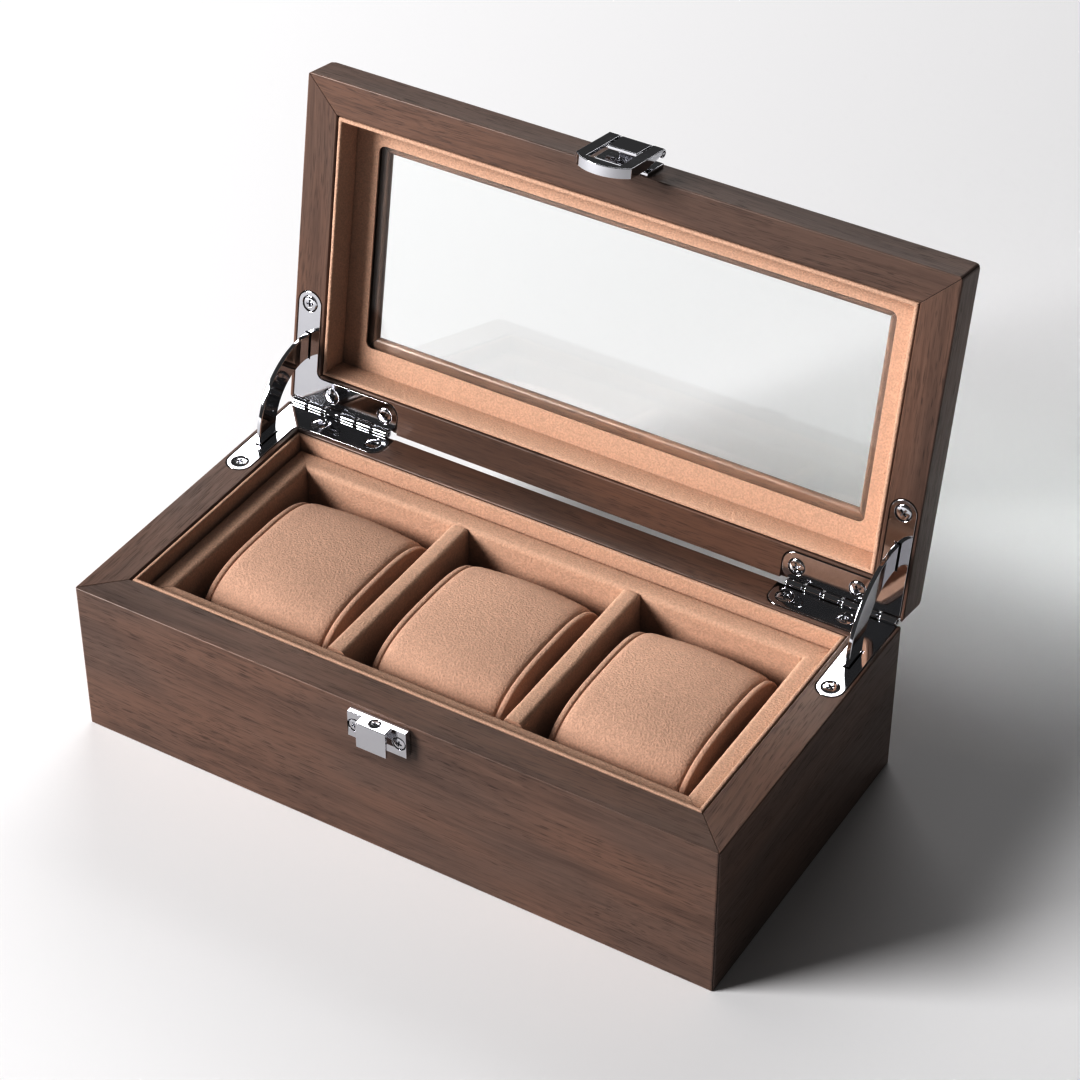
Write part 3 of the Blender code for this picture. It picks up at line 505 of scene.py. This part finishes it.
def pillow(node, body, seed):
    """A sewn pillow: a wrap over foam, a raised seam at each end and end panels set back behind it."""
    low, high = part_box(node)
    centre = (low + high) / 2
    half_x, half_y = (high.x - low.x) / 2, (high.y - low.y) / 2 - SEAM_PULL
    bottom = low.z
    half_z = (high.z - SEAM_DROP - bottom) / 2
    middle_z = bottom + half_z
    one_side = pillow_rings(half_x)
    far_side = [(-x, inset, sewn) for x, inset, sewn in reversed(one_side)]
    rings = one_side + [(0.0, wrap_rise(1.0), False)] + far_side
    verts, sewn_points = [], []
    for x, inset, sewn in rings:
        for k in range(PILLOW_AROUND):
            y, z = superellipse(half_y - inset, half_z - inset, k / PILLOW_AROUND)
            if sewn:
                sewn_points.append(len(verts))
            verts.append(Vector((x, y, z)))
    count = PILLOW_AROUND
    faces = []
    for row in range(len(rings) - 1):
        for k in range(count):
            a, b = row * count + k, row * count + (k + 1) % count
            faces.append((a, b, b + count, a + count))
    for row, flip in ((0, False), (len(rings) - 1, True)):
        hub = len(verts)
        verts.append(Vector((rings[row][0], 0, 0)))
        for k in range(count):
            a, b = row * count + k, row * count + (k + 1) % count
            faces.append((b, a, hub) if not flip else (a, b, hub))
    verts = [vert + Vector((centre.x, centre.y, middle_z)) for vert in verts]
    made = new_piece(f"{node}_pillow", verts, faces, PILLOW, body, (node,))
    inflate(made, sewn_points)
    settle(made, verts, low, high)
    detail = made.modifiers.new("detail", "SUBSURF")
    detail.levels = detail.render_levels = 1
    apply_modifiers(made)
    raise_nap(made.data, PILLOW_NAP_HEIGHT, PILLOW_NAP_SPACING, seed)


def inflate(piece, sewn_points):
    """Blows the pillow up as cloth that is held at its seams."""
    group = piece.vertex_groups.new(name="sewn")
    group.add(sewn_points, 1.0, "REPLACE")
    cloth = piece.modifiers.new("cloth", "CLOTH")
    cloth.settings.quality = 6
    cloth.settings.mass = 0.2
    cloth.settings.tension_stiffness = 12
    cloth.settings.compression_stiffness = 12
    cloth.settings.bending_stiffness = 0.6
    cloth.settings.vertex_group_mass = "sewn"
    cloth.settings.use_pressure = True
    cloth.settings.uniform_pressure_force = 4.0
    cloth.settings.effector_weights.gravity = 0.0
    cloth.collision_settings.use_collision = False
    cloth.collision_settings.use_self_collision = False
    cloth.point_cache.frame_start = 1
    cloth.point_cache.frame_end = CLOTH_FRAMES
    for step in range(1, CLOTH_FRAMES + 1):
        bpy.context.scene.frame_set(step)
    apply_modifiers(piece)
    bpy.context.scene.frame_set(1)


def apply_modifiers(piece):
    graph = bpy.context.evaluated_depsgraph_get()
    made = bpy.data.meshes.new_from_object(piece.evaluated_get(graph))
    old = piece.data
    piece.modifiers.clear()
    piece.data = made
    bpy.data.meshes.remove(old)


def settle(piece, start, low, high):
    """Caps how far each point swelled, and keeps the pillow on its floor and inside its room."""
    for vertex, first in zip(piece.data.vertices, start):
        moved = vertex.co - first
        if moved.length > SWELL_LIMIT:
            moved *= SWELL_LIMIT / moved.length
        place = first + moved
        place.x = min(max(place.x, low.x), high.x)
        place.z = min(max(place.z, low.z + 0.05 * MM), high.z)
        vertex.co = place


# ---------------------------------------------------------------- hinges and stay arms


def turned(profile, sides=48):
    """Points and faces of a profile of (radius, height) turned about Z, whose ends lie on the axis."""
    verts, faces, rows = [], [], []
    for radius, height in profile:
        count = sides if radius > 0 else 1
        rows.append((len(verts), count))
        for k in range(count):
            angle = 2 * math.pi * k / sides
            verts.append(Vector((radius * math.cos(angle), radius * math.sin(angle), height)))
    for (upper, upper_count), (lower, lower_count) in zip(rows, rows[1:]):
        for k in range(sides):
            n = (k + 1) % sides
            if upper_count == 1:
                faces.append((upper, lower + k, lower + n))
            elif lower_count == 1:
                faces.append((upper + k, lower, upper + n))
            else:
                faces.append((upper + k, lower + k, lower + n, upper + n))
    return verts, faces


def knuckle_profile(radius, length):
    """A short barrel with rounded ends, from its top down to its foot."""
    half, soft = length / 2, KNUCKLE_SOFT
    top = [(radius - soft + r, half - soft + z) for r, z in arc((0, 0), soft, 90, 0, 4)]
    return [(0, half), *top, *[(r, -z) for r, z in reversed(top)], (0, -half)]


def baked(obj, *cutters):
    """The mesh of an object with its modifiers applied; the object and its cutters are removed."""
    graph = bpy.context.evaluated_depsgraph_get()
    made = bpy.data.meshes.new_from_object(obj.evaluated_get(graph))
    for each in (obj, *cutters):
        bpy.data.objects.remove(each)
    return made


def loose(name, mesh):
    obj = bpy.data.objects.new(name, mesh)
    bpy.context.scene.collection.objects.link(obj)
    return obj


def cut(obj, cutter):
    made = obj.modifiers.new("cut", "BOOLEAN")
    made.operation = "DIFFERENCE"
    made.solver = "EXACT"
    made.object = cutter


def across_hinge(x):
    """Lays a piece turned about Z along the hinge axis, centred at x."""
    return Matrix.Translation((x, HINGE.y, HINGE.z)) @ Matrix.Rotation(math.pi / 2, 4, "Y")


def leaf_plate(node, low, high, radius):
    """The node's mesh without its knuckles."""
    mesh = NODES[node].data.copy()
    bare(mesh)
    plate = loose("plate", mesh)
    merge_flat(plate)
    long = high.x - low.x + 4 * MM
    verts, faces = turned([(0, long / 2), (radius, long / 2), (radius, -long / 2), (0, -long / 2)])
    place = across_hinge((low.x + high.x) / 2)
    barrel = bpy.data.meshes.new("barrel")
    barrel.from_pydata([place @ vert for vert in verts], [], faces)
    cutter = loose("barrel", barrel)
    cut(plate, cutter)
    return baked(plate, cutter)


def hinge_leaf(hand, body):
    """A leaf with every second knuckle as its own rounded barrel."""
    node = f"hinge_{body}_leaf_{hand}"
    low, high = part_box(f"hinge_pin_{hand}")
    pitch = (high.x - low.x) / KNUCKLES
    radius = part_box("hinge_base_leaf_left")[1].y - HINGE.y
    mesh = leaf_plate(node, low, high, radius + 0.05 * MM)
    verts = [vertex.co.copy() for vertex in mesh.vertices]
    faces = [tuple(face.vertices) for face in mesh.polygons]
    outer = high.x if HANDS[hand] > 0 else low.x
    for k in range(0 if body == "base" else 1, KNUCKLES, 2):
        x = outer - HANDS[hand] * pitch * (k + 0.5)
        points, rings = turned(knuckle_profile(radius, pitch - 2 * KNUCKLE_GAP))
        place = across_hinge(x)
        start = len(verts)
        verts += [place @ point for point in points]
        faces += [tuple(start + index for index in face) for face in rings]
    piece = new_piece(f"{node}_fine", verts, faces, CHROME, body, (node,))
    round_edges(piece, METAL_EDGE, 3)


def stay_arm(hand):
    """A flat ring part about the hinge axis with fine arcs and rounded edges."""
    node = f"stay_arm_{hand}"
    points = [vertex.co for vertex in NODES[node].data.vertices]
    spans = [Vector((0, HINGE.y - point.y, point.z - HINGE.z)) for point in points]
    radii = [span.length for span in spans]
    angles = [math.degrees(math.atan2(span.z, span.y)) for span in spans]
    low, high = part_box(node)
    inner, outer = min(radii), max(radii)
    outline = arc((0, 0), outer, min(angles), max(angles), ARM_STEPS)
    outline += arc((0, 0), inner, max(angles), min(angles), ARM_STEPS)
    count = len(outline)
    verts = [Vector((x, HINGE.y - y, HINGE.z + z)) for x in (low.x, high.x) for y, z in outline]
    faces = [(k, (k + 1) % count, (k + 1) % count + count, k + count) for k in range(count)]
    for base in (0, count):
        end = base + count - 1
        faces += [(base + k, base + k + 1, end - 1 - k, end - k) for k in range(count // 2 - 1)]
    piece = new_piece(f"{node}_fine", verts, faces, CHROME, node, (node,))
    round_edges(piece, ARM_EDGE, 4)


def round_edges(piece, width, segments, slide=True):
    """Rounds the sharp edges.

    Slide is off for the mitred boards, which keeps nearly all of their corners in place. Four points
    of lid_right_rail still stray from the board, by up to 1.1 mm.
    """
    rounded = piece.modifiers.new("edges", "BEVEL")
    rounded.width = width
    rounded.segments = segments
    rounded.limit_method = "ANGLE"
    rounded.angle_limit = SHARP_ANGLE
    rounded.use_clamp_overlap = False
    rounded.loop_slide = slide
    piece.modifiers.new("smooth", "NODES").node_group = SMOOTH
    piece.modifiers.new("normals", "WEIGHTED_NORMAL").keep_sharp = True


# ---------------------------------------------------------------- screws


def screw_head_mesh(radius, proud, depth, shank, length, name):
    """A domed cross-head screw, face up at z = 0, with a tapered recess."""
    dome = [math.pi / 2 * k / 8 for k in range(9)]
    rim = [(radius * math.sin(a), proud - radius * 0.16 * (1 - math.cos(a))) for a in dome]
    profile = [*rim, (radius, -depth * 0.35), (radius * 0.98, -depth), (shank, -depth - 0.05 * MM)]
    turns = 6
    pitch = (length - depth) / (2 * turns)
    for k in range(2 * turns):
        z = -depth - 0.05 * MM - pitch * (k + 0.5)
        profile.append((shank * (1.0 if k % 2 else 0.82), z))
    profile.append((0, -length))
    verts, faces = turned(profile)
    mesh = bpy.data.meshes.new(name)
    mesh.from_pydata(verts, [], faces)
    obj = loose(name, mesh)
    cutters = [cross_wing(radius * 0.62, radius * 0.15, depth * 0.95, proud, turn)
               for turn in (0, math.pi / 2)]
    for cutter in cutters:
        cut(obj, cutter)
    round_edges(obj, SCREW_EDGE, 1)
    return baked(obj, *cutters)


def cross_wing(reach, half, depth, proud, turn):
    """One slot of the cross recess, narrower and shorter at its floor."""
    shape = bmesh.new()
    top, floor = proud + 0.5 * MM, -depth
    corners = []
    for z, share in ((top, 1.0), (floor, 0.55)):
        corners += [shape.verts.new((x * reach * share, y * half * share, z))
                    for x, y in ((-1, -1), (1, -1), (1, 1), (-1, 1))]
    a, b = corners[:4], corners[4:]
    shape.faces.new(a)
    shape.faces.new(reversed(b))
    for k in range(4):
        n = (k + 1) % 4
        shape.faces.new((a[n], a[k], b[k], b[n]))
    bmesh.ops.recalc_face_normals(shape, faces=shape.faces)
    shape.transform(Matrix.Rotation(turn, 4, "Z"))
    mesh = bpy.data.meshes.new("wing")
    shape.to_mesh(mesh)
    shape.free()
    return loose("wing", mesh)


def screws():
    """Every screw: its node's box gives the place, and the way it faces is one of the box's axes."""
    kinds = []
    for hand, sign in HANDS.items():
        for k in range(3):
            twist = 0.5 + 1.3 * k + 0.4 * sign
            kinds.append((f"base_leaf_screw_{hand}_{k + 1}", "base", (0, 0, 1), None, twist))
            kinds.append((f"lid_leaf_screw_{hand}_{k + 1}", "lid", (0, 0, -1), LID_TURN, twist))
    kinds += [(f"catch_screw_{k + 1}", "base", (0, -1, 0), None, 0.4 + k) for k in range(2)]
    kinds += [(f"clasp_screw_{k + 1}", "lid", (0, -1, 0), LID_TURN, 0.7 + k) for k in range(2)]
    kinds.append(("catch_top_screw", "base", (0, 0, 1), None, 0.3))
    meshes = {}
    for node, body, facing, turn, twist in kinds:
        facing = Vector(facing)
        low, high = box_of([node], turn)
        axis = max(range(3), key=lambda index: abs(facing[index]))
        across = (axis + 1) % 3
        radius = (high[across] - low[across]) / 2
        length = high[axis] - low[axis]
        top = (low + high) / 2
        top[axis] = high[axis] if facing[axis] > 0 else low[axis]
        key = (round(radius * 1e5), round(length * 1e5))
        if key not in meshes:
            shank = radius * (0.44 if radius > 2 * MM else 0.46)
            meshes[key] = screw_head_mesh(radius, SCREW_PROUD, radius * 0.4, shank,
                                          length - SCREW_PROUD, f"screw_{len(meshes)}")
        upright = facing.to_track_quat("Z", "Y").to_matrix().to_4x4()
        place = Matrix.Translation(top - facing * SCREW_PROUD) @ upright @ Matrix.Rotation(twist, 4, "Z")
        mesh = meshes[key].copy()
        mesh.transform((turn or Matrix()) @ place)
        mesh.name = f"{node}_head"
        mesh.materials.clear()
        mesh.materials.append(SCREW)
        obj = bpy.data.objects.new(f"{node}_fine", mesh)
        bpy.context.scene.collection.objects.link(obj)
        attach(obj, body)
        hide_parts(node)


# ---------------------------------------------------------------- dressing the carried-over nodes


def grain(side, lid):
    """The turn that lays the texture's X along a rail of the base or of the open lid."""
    if side in ("front", "back"):
        return (OPEN_ANGLE, 0, 0) if lid else (0, 0, 0)
    return (OPEN_ANGLE, 0, math.pi / 2) if lid else (0, 0, math.pi / 2)


def dress_nodes():
    for index, side in enumerate(SIDES):
        for lid in (False, True):
            node = f"lid_{side}_rail" if lid else f"base_{side}_panel"
            shift = (137.0 * index + 61.0 * lid, 53.0 * index + 29.0 * lid, 17.0 * index)
            wood = walnut(f"walnut_{node}", grain(side, lid), shift)
            finish_node(node, wood, WOOD_EDGE, slide=False)
    finish_node("tray_floor", LINER, 0.3 * MM)
    finish_node("bottom_panel", fibreboard(), 0.2 * MM)
    finish_node("underside_felt", felt(), 0.2 * MM)
    finish_node("lid_window_ledge", LID_LINER, 0.16 * MM, 3)
    finish_node("lid_glass", pane(), 0.25 * MM)
    for hand in HANDS:
        finish_node(f"hinge_pin_{hand}", CHROME, METAL_EDGE, 3)
        for body in ("base", "lid"):
            hinge_leaf(hand, body)
        stay_arm(hand)
    for node in ("catch_plate", "clasp_mount", "clasp_pin", "clasp_lever"):
        finish_node(node, CHROME, METAL_EDGE, 3)


# ---------------------------------------------------------------- stage


def floor():
    half = FLOOR_HALF
    mesh = bpy.data.meshes.new("floor")
    corners = [(-half, -half, 0), (half, -half, 0), (half, half, 0), (-half, half, 0)]
    mesh.from_pydata(corners, [], [(0, 1, 2, 3)])
    paper = Surface("paper", Roughness=0.9, Specular_IOR_Level=0.1)
    paper.shader.inputs["Base Color"].default_value = rgb(0.82, 0.815, 0.82)
    mesh.materials.append(paper.material)
    obj = bpy.data.objects.new("floor", mesh)
    bpy.context.scene.collection.objects.link(obj)


def softbox(name, around, above, distance, size, power):
    """A rectangular lamp; around is its compass angle from +X and above its elevation, in degrees."""
    lamp = bpy.data.lights.new(name, "AREA")
    lamp.shape = "RECTANGLE"
    lamp.size, lamp.size_y = size
    lamp.energy = power
    obj = bpy.data.objects.new(name, lamp)
    bpy.context.scene.collection.objects.link(obj)
    turn, rise = math.radians(around), math.radians(above)
    way = Vector((math.cos(turn) * math.cos(rise), math.sin(turn) * math.cos(rise), math.sin(rise)))
    obj.location = LAMP_AIM + way * distance
    obj.rotation_euler = way.to_track_quat("Z", "Y").to_euler()


def lights():
    world = bpy.data.worlds.new("studio")
    world.use_nodes = True
    sky = world.node_tree.nodes["Background"]
    sky.inputs["Color"].default_value = rgb(1.0, 1.0, 1.0)
    sky.inputs["Strength"].default_value = SKY_STRENGTH
    bpy.context.scene.world = world
    for lamp in LAMPS:
        softbox(*lamp)


def camera():
    data = bpy.data.cameras.new("camera")
    data.lens = CAMERA_LENS
    data.sensor_width = 36
    obj = bpy.data.objects.new("camera", data)
    bpy.context.scene.collection.objects.link(obj)
    right, up = CAMERA_RIGHT.normalized(), CAMERA_UP.normalized()
    back = right.cross(up)
    turn = Matrix((right, up, back)).transposed().to_4x4()
    obj.matrix_world = Matrix.Translation(CAMERA_PLACE) @ turn
    bpy.context.scene.camera = obj


# ---------------------------------------------------------------- build

SMOOTH = smooth_by_angle()
LINER = suede("liner_suede_surface", PEACH)
LID_LINER = suede("lid_suede_surface", PEACH, (31, 7, 3))
PILLOW = suede("pillow_suede_surface", PILLOW_PEACH, (11, 3, 5))
CHROME = chrome("chrome_surface", 0.06)
SCREW = chrome("screw_surface", 0.09)

camera()
dress_nodes()
lining()
for seed, hand in enumerate(("left", "middle", "right")):
    pillow(f"cushion_{hand}", f"cushion_{hand}", seed + 1.5)
screws()
floor()
lights()
bpy.context.scene.view_settings.view_transform = "Standard"
bpy.context.scene.view_settings.gamma = VIEW_GAMMA
